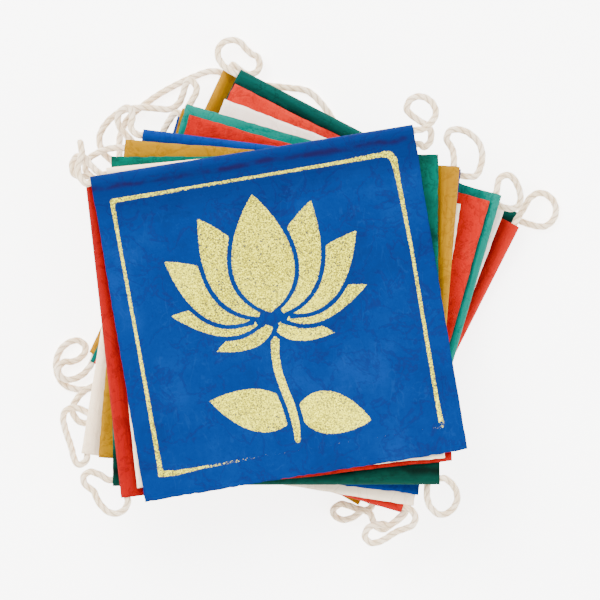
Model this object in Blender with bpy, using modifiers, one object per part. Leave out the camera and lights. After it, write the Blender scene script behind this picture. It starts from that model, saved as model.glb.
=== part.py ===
"""Garland of fifteen small paper prayer flags on one cotton string, wound up into a loose square pile.

Each flag is one sheet of handmade paper. One edge is folded under and round the string, and the flap
lies under the sheet. The flags are laid from the lowest to the topmost, each draped over what is
already there, and the loops of string between them are laid in the same order.
Lengths are in millimetres here and become metres when the shapes are made. Z is up.
"""

import math

import bmesh
import bpy
import numpy as np

MM = 0.001

# Places in the tables are read on a square seen from above, x to the right and y down, in steps of
# STEP mm. PILE_AT is the middle of the pile there, and becomes the origin.
STEP = 0.4
PILE_AT = (301.4, 289.1)

PAPER = 1.0  # thickness of a sheet's solid
GAP = 0.32  # left between pieces that lie on each other
STIFF = 2.0  # a sheet's stiffness against its weight
RIM_WEIGHT = 4.0  # how much heavier a rim point is, which keeps corners from curling up
FLAT_WITHIN = 0.08  # what lies this near the surface lies flat on it
STRING_R = 1.4
CASING_R = 2.28  # string's middle to the middle of the paper round it
FLAP = 18.0  # depth of the folded part, from the fold
CASING_FLAT = 8.6  # where the sheet has come down onto its flap
FLAP_STEP = 23.0  # where it has come down past the flap's edge
ACROSS = 8  # facets along the casing
DEEP = 5  # facets from the flap's edge to the far edge
MOUTH_FREE = 8  # of a loop, this much at the upper casing isn't under the sheet
SAG = 0.1  # how far a loop hangs down between its ends, for each mm of it
DROOP = 0.3  # how far a loose end over the pile's rim hangs down, for each mm of it
TUBE_STEP = 7.0  # between the tube's points, at most
TUBE_TURN = 30.0  # degrees turned between the tube's points, at most
EDGE_CLEAR = 1.2  # how far a draped sheet stays from what it passes over, sideways

COLOURS = {
    "blue": (0.004, 0.095, 0.381, 1.0),
    "white": (0.85, 0.79, 0.72, 1.0),
    "red": (0.80, 0.055, 0.028, 1.0),
    "green": (0.0, 0.33, 0.23, 1.0),
    "yellow": (1.0, 0.50, 0.015, 1.0),
    "cotton": (0.82, 0.76, 0.68, 1.0),
}

# The flags from the topmost down: colour, edge folded round the string, top left corner, turn of
# the top edge, how much further the sides turn, width and depth.
FLAG_COLUMNS = ("colour", "casing", "x", "y", "turn", "lean", "width", "depth")
FLAGS = (
    ("blue", "top", 90.0, 176.0, -9.2, -0.5, 326.5, 330.0),
    ("white", "top", 106.0, 167.0, -5.5, 0.0, 310.0, 326.0),
    ("red", "left", 84.7, 184.0, -6.5, 0.0, 334.0, 316.0),
    ("green", "bottom", 111.0, 156.0, -0.3, 0.0, 327.0, 331.0),
    ("yellow", "right", 125.0, 139.0, 4.7, 0.0, 337.0, 324.0),
    ("blue", "top", 143.0, 128.0, 7.2, 0.3, 321.0, 330.0),
    ("white", "left", 128.0, 151.0, 9.0, 0.0, 338.0, 306.0),
    ("red", "bottom", 189.0, 114.0, 16.0, 0.0, 314.0, 326.0),
    ("green", "right", 185.4, 103.0, 16.2, 0.0, 331.0, 330.0),
    ("yellow", "top", 182.0, 106.5, 15.5, 0.0, 320.0, 326.0),
    ("blue", "left", 177.0, 113.0, 16.8, 0.0, 325.0, 307.0),
    ("white", "bottom", 224.0, 98.0, 20.7, 0.0, 303.0, 320.0),
    ("red", "right", 235.0, 82.5, 26.8, 0.0, 321.0, 315.0),
    ("green", "top", 241.0, 67.3, 27.3, 0.0, 317.0, 331.0),
    ("yellow", "left", 223.6, 64.3, 29.6, -4.2, 313.0, 318.5),
)

# The string below each flag's casing: the places that it passes, on its way from that flag's
# casing to the next one down. The last row is the loose end under the lowest flag.
LOOPS = (
    ((421, 130), (431, 123), (436, 112), (431, 101), (420, 96), (410, 100), (407, 109), (414, 117),
     (424, 122), (431, 131), (430, 142), (423, 147)),
    ((98, 172), (91, 166), (85, 158), (77, 156), (72, 164), (74, 174), (83, 177), (91, 176)),
    ((127, 506), (119, 513), (108, 512), (99, 503), (94, 492), (86, 486), (83, 478), (89, 472),
     (100, 475)),
    ((449, 481), (456, 490), (457, 502), (450, 512), (440, 515), (431, 508), (427, 498)),
    ((455, 157), (452, 147), (447, 138), (451, 130), (461, 129), (472, 134), (480, 143), (483, 155),
     (481, 168), (475, 176)),
    ((135, 133), (130, 126), (132, 115), (128, 107), (120, 110), (117, 120), (121, 130), (128, 137),
     (134, 144)),
    ((85, 462), (78, 465), (72, 457), (70, 446), (66, 434), (62, 421), (65, 411), (75, 408),
     (88, 414)),
    ((411, 510), (416, 518), (412, 527), (402, 531), (392, 535), (382, 542), (371, 544), (365, 537),
     (370, 528), (380, 525), (391, 526), (399, 519)),
    ((498, 183), (504, 175), (513, 176), (519, 185), (522, 196), (519, 206), (509, 208), (499, 203)),
    ((172, 115), (167, 122), (163, 132), (152, 141), (138, 146), (122, 147), (112, 147), (103, 149),
     (94, 153), (86, 159), (84, 169), (92, 177), (104, 178), (113, 172), (113, 163), (105, 156),
     (99, 146), (98, 135), (104, 123), (114, 113), (127, 108), (140, 106), (154, 107), (168, 108),
     (177, 103), (182, 94), (184, 84), (190, 79), (196, 86), (194, 96), (188, 105)),
    ((92, 418), (84, 424), (75, 420), (71, 410), (75, 400), (84, 391), (94, 387), (104, 388)),
    ((404, 501), (408, 509), (403, 518), (394, 524), (386, 531), (376, 528), (372, 517), (364, 512),
     (352, 520), (340, 521), (333, 513), (340, 506), (352, 508), (364, 512)),
    ((519, 215), (526, 207), (532, 197), (542, 192), (552, 196), (558, 206), (556, 218), (546, 226),
     (534, 224)),
    ((230, 70), (222, 63), (217, 53), (220, 43), (230, 38), (241, 41), (248, 50), (258, 56),
     (258, 68), (247, 73), (238, 67)),
    ((89, 366), (81, 375), (71, 380), (61, 379), (56, 371), (61, 363), (71, 362), (80, 357),
     (84, 348), (77, 341), (66, 343), (58, 351), (54, 362), (55, 374), (62, 385), (74, 390),
     (87, 389), (99, 380), (108, 365), (114, 340), (119, 300), (122, 250), (122, 210), (119, 180),
     (118, 152), (118, 138), (122, 124), (132, 111), (145, 102), (160, 91), (175, 83), (190, 76),
     (203, 71), (214, 69), (226, 72), (240, 79), (256, 84), (270, 84), (283, 86), (296, 86),
     (309, 90), (320, 100), (330, 113), (335, 126), (330, 137), (318, 142)),
)
# The loose end above the topmost flag, from its casing.
FIRST_END = ((84, 182), (79, 175), (78, 166), (81, 157), (82, 148), (79.5, 139.5))
# Which way the string runs through a casing, as the ends it passes: 0 is the casing's left or top.
RUNS = {"top": (1, 0), "left": (0, 1), "bottom": (0, 1), "right": (1, 0)}


def spot(x, y):
    """A place in the tables, in mm from the pile's middle."""
    return np.array(((x - PILE_AT[0]) * STEP, (PILE_AT[1] - y) * STEP))


class Flag:
    """A flag's outline: u runs along the casing's edge, v from that edge to the far one."""

    def __init__(self, number, row):
        row = dict(zip(FLAG_COLUMNS, row))
        self.name = f"flag_{number:02d}_{row['colour']}"
        self.number = number
        self.colour = row["colour"]
        turn = math.radians(row["turn"])
        side = math.radians(row["turn"] + row["lean"])
        wide = np.array((math.cos(turn), -math.sin(turn))) * row["width"] * STEP
        deep = np.array((-math.sin(side), -math.cos(side))) * row["depth"] * STEP
        corner = spot(row["x"], row["y"])
        self.start, self.along, self.inward = {
            "top": (corner, wide, deep),
            "bottom": (corner + deep, wide, -deep),
            "left": (corner, deep, wide),
            "right": (corner + wide, deep, -wide),
        }[row["casing"]]
        self.runs = RUNS[row["casing"]]
        if number == 1:
            self.runs = self.runs[::-1]
        self.u_size = float(np.linalg.norm(self.along))
        self.v_size = float(np.linalg.norm(self.inward))
        self.v_stations = [0.0, FLAP] + [
            FLAP_STEP + (self.v_size - FLAP_STEP) * i / DEEP for i in range(1, DEEP + 1)
        ]
        self.drape = np.zeros((ACROSS + 1, len(self.v_stations)))

    def at(self, u, v):
        """Plan position in mm of (u, v), which may be arrays."""
        u = np.asarray(u, float)[..., None] / self.u_size
        v = np.asarray(v, float)[..., None] / self.v_size
        return self.start + u * self.along + v * self.inward

    def v_place(self, v):
        """Where v falls among the drape's columns: flat over the casing and the flap's edge."""
        knots = [0.0, CASING_FLAT, FLAP, FLAP_STEP] + self.v_stations[2:]
        columns = [0, 0, 1, 1] + list(range(2, len(self.v_stations)))
        return np.interp(v, knots, columns)

    def weights(self, u, v):
        """For each sample, its facet's three drape points and their shares."""
        a = np.clip(np.asarray(u, float) / self.u_size * ACROSS, 0, ACROSS - 1e-9)
        b = np.clip(self.v_place(v), 0, len(self.v_stations) - 1 - 1e-9)
        i, j = a.astype(int), b.astype(int)
        fa, fb = a - i, b - j
        n = len(self.v_stations)
        low = fa + fb <= 1
        index = np.stack(
            (np.where(low, i * n + j, (i + 1) * n + j + 1), (i + 1) * n + j, i * n + j + 1), -1
        )
        share = np.stack(
            (
                np.where(low, 1 - fa - fb, fa + fb - 1),
                np.where(low, fa, 1 - fb),
                np.where(low, fb, 1 - fa),
            ),
            -1,
        )
        return index, share

    def height(self, u, v):
        index, share = self.weights(u, v)
        return (self.drape.ravel()[index] * share).sum(-1)

    def section(self):
        """The fold's middle line, flap first: distance from the fold, height."""
        low = PAPER / 2
        middle = low + CASING_R
        points = [(FLAP, low), (CASING_FLAT, low)]
        for angle in (-90, -135, 180, 135, 90):
            t = math.radians(angle)
            points.append((middle + CASING_R * math.cos(t), middle + CASING_R * math.sin(t)))
        over = low + PAPER + GAP
        points += [(middle + 2.4, middle + 1.6), (CASING_FLAT, over), (FLAP, over)]
        points += [(FLAP + 1.5, over), (FLAP_STEP, low)]
        points += [(v, low) for v in self.v_stations[2:]]
        return points

    def top(self, v):
        """Top of the sheet above the drape at v."""
        line = self.section()[4:]
        return np.interp(v, [p[0] for p in line], [p[1] for p in line]) + PAPER * 0.5

    def string_line(self):
        """Middle of the string in the casing, in the order it runs."""
        r = PAPER / 2 + CASING_R
        u = np.linspace(0, self.u_size, ACROSS + 1)
        line = np.column_stack((self.at(u, np.full_like(u, r)), self.drape[:, 0] + r))
        return line if self.runs == (0, 1) else line[::-1]


class Pile:
    """Height of what already lies there, in square cells."""

    CELL = 0.8
    REACH = 116.0

    def __init__(self):
        self.count = int(2 * self.REACH / self.CELL)
        self.high = np.zeros((self.count, self.count))

    def cell(self, plan):
        return np.clip(((plan + self.REACH) / self.CELL).astype(int), 0, self.count - 1)

    def spread(self, radius, ball):
        """The heights kept clear by a disc or a ball of this radius."""
        out = self.high.copy()
        n = int(math.ceil(radius / self.CELL))
        for dx in range(-n, n + 1):
            for dy in range(-n, n + 1):
                far = max(0.0, math.hypot(dx, dy) - 0.5) * self.CELL
                if far > radius:
                    continue
                moved = np.roll(np.roll(self.high, dx, 0), dy, 1)
                out = np.maximum(out, moved + (math.sqrt(radius**2 - far**2) if ball else 0.0))
        return out

    def add(self, plan, z):
        cells = self.cell(plan)
        np.maximum.at(self.high, (cells[:, 0], cells[:, 1]), z)

    def add_flag(self, flag):
        u, v = np.meshgrid(np.arange(0, flag.u_size, 0.6), np.arange(0, flag.v_size, 0.6))
        u, v = u.ravel(), v.ravel()
        self.add(flag.at(u, v), flag.height(u, v) + flag.top(v))

    def add_string(self, line):
        line = spaced(line, 0.5)
        n = int(math.ceil(STRING_R / self.CELL))
        for dx in range(-n, n + 1):
            for dy in range(-n, n + 1):
                far = math.hypot(dx, dy) * self.CELL
                if far <= STRING_R:
                    rise = math.sqrt(STRING_R**2 - far**2)
                    self.add(line[:, :2] + np.array((dx, dy)) * self.CELL, line[:, 2] + rise)


def spaced(line, step):
    """Points evenly along a polyline."""
    line = np.asarray(line, float)
    run = np.concatenate(((0.0,), np.cumsum(np.linalg.norm(np.diff(line, axis=0), axis=1))))
    at = np.linspace(0, run[-1], max(2, int(math.ceil(run[-1] / step)) + 1))
    return np.column_stack([np.interp(at, run, line[:, k]) for k in range(line.shape[1])])


def smooth_curve(points, step):
    """Points read every step from a smooth curve through the given ones."""
    p = np.asarray(points, float)
    p = np.vstack((2 * p[0] - p[1], p, 2 * p[-1] - p[-2]))
    out = []
    for a, b, c, d in zip(p, p[1:], p[2:], p[3:]):
        gaps = [max(np.linalg.norm(q - r), 1e-6) ** 0.5 for q, r in ((a, b), (b, c), (c, d))]
        into = (b - a) / gaps[0] - (c - a) / (gaps[0] + gaps[1]) + (c - b) / gaps[1]
        away = (c - b) / gaps[1] - (d - b) / (gaps[1] + gaps[2]) + (d - c) / gaps[2]
        into, away = into * gaps[1], away * gaps[1]
        for t in np.linspace(0, 1, 12, endpoint=False):
            h = (2 * t**3 - 3 * t**2 + 1, t**3 - 2 * t**2 + t, 3 * t**2 - 2 * t**3, t**3 - t**2)
            out.append(h[0] * b + h[1] * into + h[2] * c + h[3] * away)
    out.append(p[-2])
    return spaced(out, step)


def bending(rows, columns):
    """The stiffness of a sheet's grid against bending, along and across it."""
    count = rows * columns
    node = np.arange(count).reshape(rows, columns)
    lines = []
    for grid in (node, node.T):
        for a, b, c in zip(grid[:-2].ravel(), grid[1:-1].ravel(), grid[2:].ravel()):
            lines.append(((a, 1.0), (b, -2.0), (c, 1.0)))
    corners = (node[:-1, :-1], node[1:, :-1], node[:-1, 1:], node[1:, 1:])
    for a, b, c, d in zip(*(grid.ravel() for grid in corners)):
        lines.append(((a, 1.0), (b, -1.0), (c, -1.0), (d, 1.0)))
    out = np.zeros((len(lines), count))
    for row, line in enumerate(lines):
        for k, value in line:
            out[row, k] += value
    return STIFF * out.T @ out


def drape_over(flag, pile):
    """Finds where the sheet rests, clear of the pile: the least energy of its weight and its bending.

    The sheet's bottom is kept above the pile at every sample by a barrier that is made steeper in
    steps, and each step is solved by a few rounds of Newton's method.
    """
    clear = pile.spread(EDGE_CLEAR, ball=False)
    u, v = np.meshgrid(np.linspace(0, flag.u_size, 110), np.linspace(0, flag.v_size, 110))
    u, v = u.ravel(), v.ravel()
    cells = pile.cell(flag.at(u, v))
    floor = clear[cells[:, 0], cells[:, 1]]
    floor = np.where(floor > 0, floor + GAP, 0.0)
    if floor.max() == 0:
        return
    index, share = flag.weights(u, v)
    count = flag.drape.size
    stiff = bending(*flag.drape.shape)
    weight = np.ones(flag.drape.shape)
    weight[[0, -1], :] += RIM_WEIGHT
    weight[:, [0, -1]] += RIM_WEIGHT
    weight = weight.ravel()
    d = np.full(count, floor.max() + 2.0)
    place = (index[:, :, None] * count + index[:, None, :]).ravel()
    pairs = share[:, :, None] * share[:, None, :]
    push = 0.02
    while push < 2000:
        push *= 3
        for _ in range(8):
            room = (d[index] * share).sum(-1) - floor
            slope = push * (stiff @ d + weight)
            slope -= np.bincount(index.ravel(), (share / room[:, None]).ravel(), count)
            curve = np.bincount(place, (pairs / room[:, None, None] ** 2).ravel(), count * count)
            step = np.linalg.solve(push * stiff + curve.reshape(count, count), -slope)
            moved = (step[index] * share).sum(-1)
            most = min(1.0, 0.9 / max(1e-9, (-moved / room).max()))
            d = d + most * step
    d[d < FLAT_WITHIN] = 0.0
    flag.drape = d.reshape(flag.drape.shape)


def crossings(plan):
    """For each point, how far it stays above each earlier one of the same strand."""
    near = np.linalg.norm(plan[:, None] - plan[None], axis=-1)
    clear = 2 * STRING_R + GAP + 0.1
    rise = np.sqrt(np.clip(clear**2 - near**2, 0, None))
    apart = np.arange(len(plan))[:, None] - np.arange(len(plan))[None]
    return np.where((rise > 0) & (apart > 9), rise, -1e3)


def lay(plan, start, end, pile, above=None, loose_end=False):
    """Heights of a strand: it sags between its ends, rests on the pile and passes over itself."""
    clear = pile.spread(STRING_R + GAP, ball=True)
    cells = pile.cell(plan)
    least = np.maximum(clear[cells[:, 0], cells[:, 1]], STRING_R + 0.02)
    most = np.full(len(plan), 1e3)
    if above is not None:
        u = (plan - above.start) @ above.along / above.u_size
        v = (plan - above.start) @ above.inward / above.v_size
        outside = np.maximum.reduce((-u, u - above.u_size, -v, v - above.v_size))
        under = above.height(np.clip(u, 0, above.u_size), np.clip(v, 0, above.v_size))
        left = np.arange(len(plan))[::-1]
        covered = (outside < EDGE_CLEAR + 0.4) & (left > MOUTH_FREE)
        most = np.where(covered, under - STRING_R - GAP, most)
    over = crossings(plan)
    t = np.linspace(0, 1, len(plan))
    first = start if start is not None else least[0]
    last = end if end is not None else least[-1]
    if loose_end:
        last = max(last, first - DROOP * len(plan))
    sag = SAG * len(plan)
    z = first + (last - first) * t - 4 * sag * t * (1 - t)
    for _ in range(70):
        z[1:-1] = 0.5 * z[1:-1] + 0.25 * (z[:-2] + z[2:])
        low = np.maximum(least, (z[None] + over).max(-1))
        z = np.maximum(np.minimum(z, most), low)
        if start is not None:
            z[:3] = start
        if end is not None:
            z[-3:] = end
    return np.column_stack((plan, z))


def loop_plan(upper, lower, places):
    """Plan of a loop, from the lower flag's casing to the upper flag's, every millimetre."""
    points = [spot(x, y) for x, y in places][::-1]
    if lower is not None:
        inner, mouth = lower.string_line()[1, :2], lower.string_line()[0, :2]
        points = [mouth, mouth + (mouth - inner) / np.linalg.norm(mouth - inner) * 2.0] + points
    inner, mouth = upper.string_line()[-2, :2], upper.string_line()[-1, :2]
    points = points + [mouth + (mouth - inner) / np.linalg.norm(mouth - inner) * 2.0, mouth]
    return smooth_curve(points, 1.0)


def thinned(line):
    """The points that the tube needs: one each 2 to 3 diameters, and more where it bends."""
    kept, run, turned = [line[0]], 0.0, 0.0
    steps = np.diff(line, axis=0)
    for i in range(1, len(line) - 1):
        run += np.linalg.norm(steps[i - 1])
        a, b = steps[i - 1], steps[i]
        cos = a @ b / max(1e-9, np.linalg.norm(a) * np.linalg.norm(b))
        turned += math.degrees(math.acos(min(1.0, max(-1.0, cos))))
        if run > TUBE_STEP or turned > TUBE_TURN:
            kept.append(line[i])
            run, turned = 0.0, 0.0
    if np.linalg.norm(kept[-1] - line[-1]) < 1.5 and len(kept) > 1:
        kept.pop()
    return np.array(kept + [line[-1]])


def wind_up(flags):
    """Lays the flags and the string between them, lowest first. Returns the string's whole line."""
    pile = Pile()
    stretches = []
    lower = None
    for flag, places in zip(reversed(flags), reversed(LOOPS)):
        plan = loop_plan(flag, lower, places)
        start = lower.string_line()[0, 2] if lower is not None else None
        loose = lay(plan, start, None, pile)
        before = pile.high.copy()
        pile.add_string(loose[:-MOUTH_FREE])
        drape_over(flag, pile)
        pile.high = before
        line = flag.string_line()
        loop = lay(plan, start, line[-1, 2], pile, flag)
        pile.add_string(loop)
        pile.add_flag(flag)
        stretches = [line, loop[::-1]] + stretches
        lower = flag
    places = [spot(x, y) for x, y in FIRST_END]
    mouth, inner = lower.string_line()[0], lower.string_line()[1]
    out = (mouth - inner)[:2] / np.linalg.norm((mouth - inner)[:2]) * 2.0
    plan = smooth_curve([mouth[:2], mouth[:2] + out] + places, 1.0)
    first = lay(plan, mouth[2], None, pile, loose_end=True)[::-1]
    return [first] + stretches


def material(name):
    found = bpy.data.materials.get(name) or bpy.data.materials.new(name)
    found.use_nodes = True
    shader = found.node_tree.nodes["Principled BSDF"]
    shader.inputs["Base Color"].default_value = COLOURS[name]
    shader.inputs["Roughness"].default_value = 0.85
    found.diffuse_color = COLOURS[name]
    return found


def make_flag(flag, home):
    """The sheet with its folded casing: a grid bent to the section and the drape, then thickened."""
    section = flag.section()
    bm = bmesh.new()
    bmesh.ops.create_grid(bm, x_segments=ACROSS, y_segments=len(section) - 1, size=1.0)
    across = {}
    for vert in bm.verts:
        i = round((vert.co.x + 1) / 2 * ACROSS)
        j = round((vert.co.y + 1) / 2 * (len(section) - 1))
        across[vert] = (i, j)
        u, (v, z) = flag.u_size * i / ACROSS, section[j]
        x, y = flag.at(u, v)
        lift = flag.drape[i, int(round(float(flag.v_place(v))))]
        vert.co = (x * MM, y * MM, (z + lift) * MM)
    for face in list(bm.faces):
        corner = {across[vert]: vert for vert in face.verts}
        i, j = min(corner)
        if j < 2:
            bmesh.utils.face_split(face, corner[(i, j)], corner[(i + 1, j + 1)])
        else:
            bmesh.utils.face_split(face, corner[(i + 1, j)], corner[(i, j + 1)])
    mesh = bpy.data.meshes.new(flag.name)
    bm.to_mesh(mesh)
    bm.free()
    mesh.materials.append(material(flag.colour))
    obj = bpy.data.objects.new(flag.name, mesh)
    home.objects.link(obj)
    solid = obj.modifiers.new("Paper", "SOLIDIFY")
    solid.thickness = PAPER * MM
    solid.offset = 0.0
    solid.use_even_offset = True
    solid.use_quality_normals = True
    return obj


def make_string(stretches, home):
    """One tube through all the casings and loops."""
    points = []
    for k, line in enumerate(stretches):
        kept = line if k % 2 else thinned(line)
        points += [tuple(p) for p in (kept if not points else kept[1:])]
    curve = bpy.data.curves.new("string", "CURVE")
    curve.dimensions = "3D"
    curve.twist_mode = "Z_UP"
    curve.bevel_depth = STRING_R * MM
    curve.bevel_resolution = 2
    curve.use_fill_caps = True
    spline = curve.splines.new("POLY")
    spline.points.add(len(points) - 1)
    for point, place in zip(spline.points, points):
        point.co = (place[0] * MM, place[1] * MM, place[2] * MM, 1.0)
    curve.materials.append(material("cotton"))
    obj = bpy.data.objects.new("string", curve)
    home.objects.link(obj)
    return obj


def main():
    for obj in list(bpy.data.objects):
        bpy.data.objects.remove(obj, do_unlink=True)
    home = bpy.data.collections.new("prayer_flag_garland")
    bpy.context.scene.collection.children.link(home)
    flags = [Flag(i + 1, row) for i, row in enumerate(FLAGS)]
    stretches = wind_up(flags)
    for flag in flags:
        make_flag(flag, home)
    make_string(stretches, home)


main()
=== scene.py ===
"""Prayer flag garland wound into a pile: papers, cotton string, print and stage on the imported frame."""

import math

import bpy
import numpy as np
from bpy.props import FloatProperty, FloatVectorProperty, IntProperty, PointerProperty
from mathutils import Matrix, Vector
from mathutils.bvhtree import BVHTree


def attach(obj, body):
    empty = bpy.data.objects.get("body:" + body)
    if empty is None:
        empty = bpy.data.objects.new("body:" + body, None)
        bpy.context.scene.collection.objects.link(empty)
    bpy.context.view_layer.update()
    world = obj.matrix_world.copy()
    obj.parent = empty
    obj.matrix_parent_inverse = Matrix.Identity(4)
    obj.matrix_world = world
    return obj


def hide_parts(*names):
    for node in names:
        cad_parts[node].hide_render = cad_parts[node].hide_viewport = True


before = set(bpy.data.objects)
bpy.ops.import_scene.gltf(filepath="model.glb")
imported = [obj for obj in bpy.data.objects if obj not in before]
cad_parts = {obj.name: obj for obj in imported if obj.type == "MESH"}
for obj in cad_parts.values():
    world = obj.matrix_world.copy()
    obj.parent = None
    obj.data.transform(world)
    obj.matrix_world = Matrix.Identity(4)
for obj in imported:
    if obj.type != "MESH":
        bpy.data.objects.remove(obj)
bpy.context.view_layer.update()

bl_info = {
    "name": "Prayer Flag Garland",
    "version": (1, 0, 0),
    "blender": (4, 5, 0),
    "location": "View3D > Sidebar > Garland",
    "description": "Dresses the wound-up paper flags, their string and the stage",
    "category": "Object",
}

MM = 0.001

# Places read from above, in steps of STEP mm, x to the right and y down. PILE_AT is the origin.
STEP = 0.4
PILE_AT = (301.4, 289.1)
VIEW_AT = (300.0, 300.0)
VIEW_WIDE = 600.0

# The section of a flag's casing in the CAD: middle of the paper, from the fold's lowest line.
PAPER_SOLID = 1.0
CASING_R = 2.28
CASING_MIDDLE = PAPER_SOLID / 2 + CASING_R
CASING_FLAT = 8.6
FLAP = 18.0
FLAP_STEP = 23.0
OVER_FLAP = 1.82
LOW = PAPER_SOLID / 2
CREST = 2 * CASING_MIDDLE - LOW
# The section's rows from the bottom of the fold on: what lies below holds these up, not the flap's.
HELD_UP = 26

# One unit of the sheets' map and of the string's, and how far their random fields reach, all in mm.
SHEET_MAP = 200.0
STRAND_MAP = 3.0
SHEET_REACH = 150.0
STRING_REACH = 3100.0

# Topmost flag first: dye, casing edge, corner, turn, lean, width, depth, the paper's own shade, and
# the painted shade in the crease beside its casing: mm from the fold, width in mm, strength. A few
# sheets were cut a little short, in mm off their depth and off the far end of their casing.
FLAG_COLUMNS = ("dye", "casing", "x", "y", "turn", "lean", "width", "depth", "shade", "crease")
FLAGS = (
    ("blue", "top", 90.0, 176.0, -9.2, -0.5, 326.5, 330.0, "deep blue", (5.4, 2.4, 0.85)),
    ("white", "top", 106.0, 167.0, -5.5, 0.0, 310.0, 326.0, "cream", (6.0, 2.0, 0.3)),
    ("red", "left", 84.7, 184.0, -6.5, 0.0, 334.0, 316.0, "scarlet", (10.5, 4.0, 0.8)),
    ("green", "bottom", 111.0, 156.0, -0.3, 0.0, 327.0, 331.0, "bottle green", (5.9, 4.4, 0.95)),
    ("yellow", "right", 125.0, 139.0, 4.7, 0.0, 337.0, 324.0, "marigold", (7.0, 2.5, 0.35)),
    ("blue", "top", 143.0, 128.0, 7.2, 0.3, 321.0, 330.0, "mid blue", (6.5, 2.0, 0.5)),
    ("white", "left", 128.0, 151.0, 9.0, 0.0, 338.0, 306.0, "cream", (7.0, 2.5, 0.5)),
    ("red", "bottom", 189.0, 114.0, 16.0, 0.0, 314.0, 326.0, "brick", (7.0, 2.5, 0.6)),
    ("green", "right", 185.4, 103.0, 16.2, 0.0, 331.0, 330.0, "turquoise", (9.0, 2.0, 0.4)),
    ("yellow", "top", 182.0, 106.5, 15.5, 0.0, 320.0, 326.0, "marigold", (7.0, 2.0, 0.5)),
    ("blue", "left", 177.0, 113.0, 16.8, 0.0, 325.0, 307.0, "mid blue", (7.0, 2.0, 0.5)),
    ("white", "bottom", 224.0, 98.0, 20.7, 0.0, 303.0, 320.0, "rose white", (7.0, 2.0, 0.4)),
    ("red", "right", 235.0, 82.5, 26.8, 0.0, 321.0, 315.0, "salmon", (7.2, 3.0, 0.8)),
    ("green", "top", 241.0, 67.3, 27.3, 0.0, 317.0, 331.0, "dark green", (6.6, 4.2, 0.85)),
    ("yellow", "left", 223.6, 64.3, 29.6, -4.2, 313.0, 318.5, "marigold", (8.0, 2.5, 0.5)),
)

# Each shade: body, lighter cloud, darker cloud, the painted shade for the crease and crumples (also
# the bark flecks' colour), long fibres.
SHADES = {
    "deep blue": ("#01235C", "#042C68", "#011C4F", "#120834", "#15417D"),
    "mid blue": ("#012B6F", "#04347C", "#01225D", "#091041", "#18498D"),
    "cream": ("#F4E0C4", "#F8EAD4", "#EBD3B2", "#CBB190", "#E7D4B8"),
    "rose white": ("#F8E7DD", "#FBF0EA", "#EFD8CA", "#D7BFAD", "#EFDDD1"),
    "scarlet": ("#940907", "#A7160B", "#760404", "#3D0404", "#AD3327"),
    "brick": ("#9F1009", "#B12012", "#870904", "#500704", "#B94533"),
    "salmon": ("#B62416", "#C43323", "#8D0B07", "#5C0704", "#CA5341"),
    "bottle green": ("#005144", "#025B4D", "#00261E", "#00100B", "#1F6857"),
    "dark green": ("#00534D", "#025C57", "#00302A", "#00120D", "#1A5B4F"),
    "turquoise": ("#00665B", "#077064", "#005349", "#002E27", "#27766B"),
    "marigold": ("#8F6700", "#9C7401", "#805500", "#593100", "#A68114"),
}
CUT_SHORT = {2: (1.7, 0.0), 5: (0.0, 1.9)}

# The printed frame on the top flag: its corners and half the line's width in mm at each.
FRAME_LINE = (
    ((112, 201, 0.85), (180, 189.5, 0.65), (250, 177.5, 0.65), (330, 164, 0.65), (384, 154, 1.0)),
    ((384, 154, 1.3), (390, 154.5, 1.4), (394, 160, 1.4)),
    ((394, 160, 1.3), (398, 178, 0.9), (412, 250, 0.65), (437, 400, 0.75), (442, 426, 1.0)),
    ((112, 201, 0.85), (118, 236, 0.65), (137, 340, 0.6), (157, 452, 0.85), (161, 474, 1.1)),
    ((161, 474, 1.3), (176, 473, 1.0), (200, 468, 0.5), (265, 456, 0.35), (441, 427, 0.25)),
)
# The lotus in its middle, in mm in its own frame: base, tip and width of each petal and leaf. Each
# one is cut back from those before it.
LOTUS_AT = (272.0, 320.0)
LOTUS_TURN = 9.2
LOTUS_PETALS = (
    (0.0, 3.0, 0.0, 51.0, 25.0),
    (-5.0, 2.0, -23.0, 45.0, 20.0),
    (5.0, 2.0, 23.0, 45.0, 20.0),
    (-9.0, 1.0, -39.0, 30.0, 18.0),
    (9.0, 1.0, 39.0, 30.0, 18.0),
    (-6.0, -1.0, -40.0, 8.0, 12.0),
    (6.0, -1.0, 40.0, 8.0, 12.0),
    (0.0, -3.0, -24.0, -9.0, 9.0),
    (0.0, -3.0, 24.0, -9.0, 9.0),
)
LOTUS_LEAVES = ((3.0, -40.0, -30.0, -28.0, 17.0), (4.5, -36.0, 33.0, -46.0, 17.0))
LOTUS_STEM = (
    (0.0, -7.5, 1.7),
    (-1.0, -14.0, 1.6),
    (-0.9, -21.0, 1.6),
    (0.4, -28.0, 1.6),
    (2.0, -35.0, 1.6),
    (2.8, -42.0, 1.5),
    (2.6, -49.0, 1.2),
)
PETAL_GAP = 1.9


def linear(code):
    """A colour's sRGB hex code as linear light."""
    parts = [int(code[i : i + 2], 16) / 255 for i in (1, 3, 5)]
    return [c / 12.92 if c <= 0.04045 else ((c + 0.055) / 1.055) ** 2.4 for c in parts]


def spot(x, y):
    """A place in the tables, in mm from the pile's middle."""
    return np.array(((x - PILE_AT[0]) * STEP, (PILE_AT[1] - y) * STEP))


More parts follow.
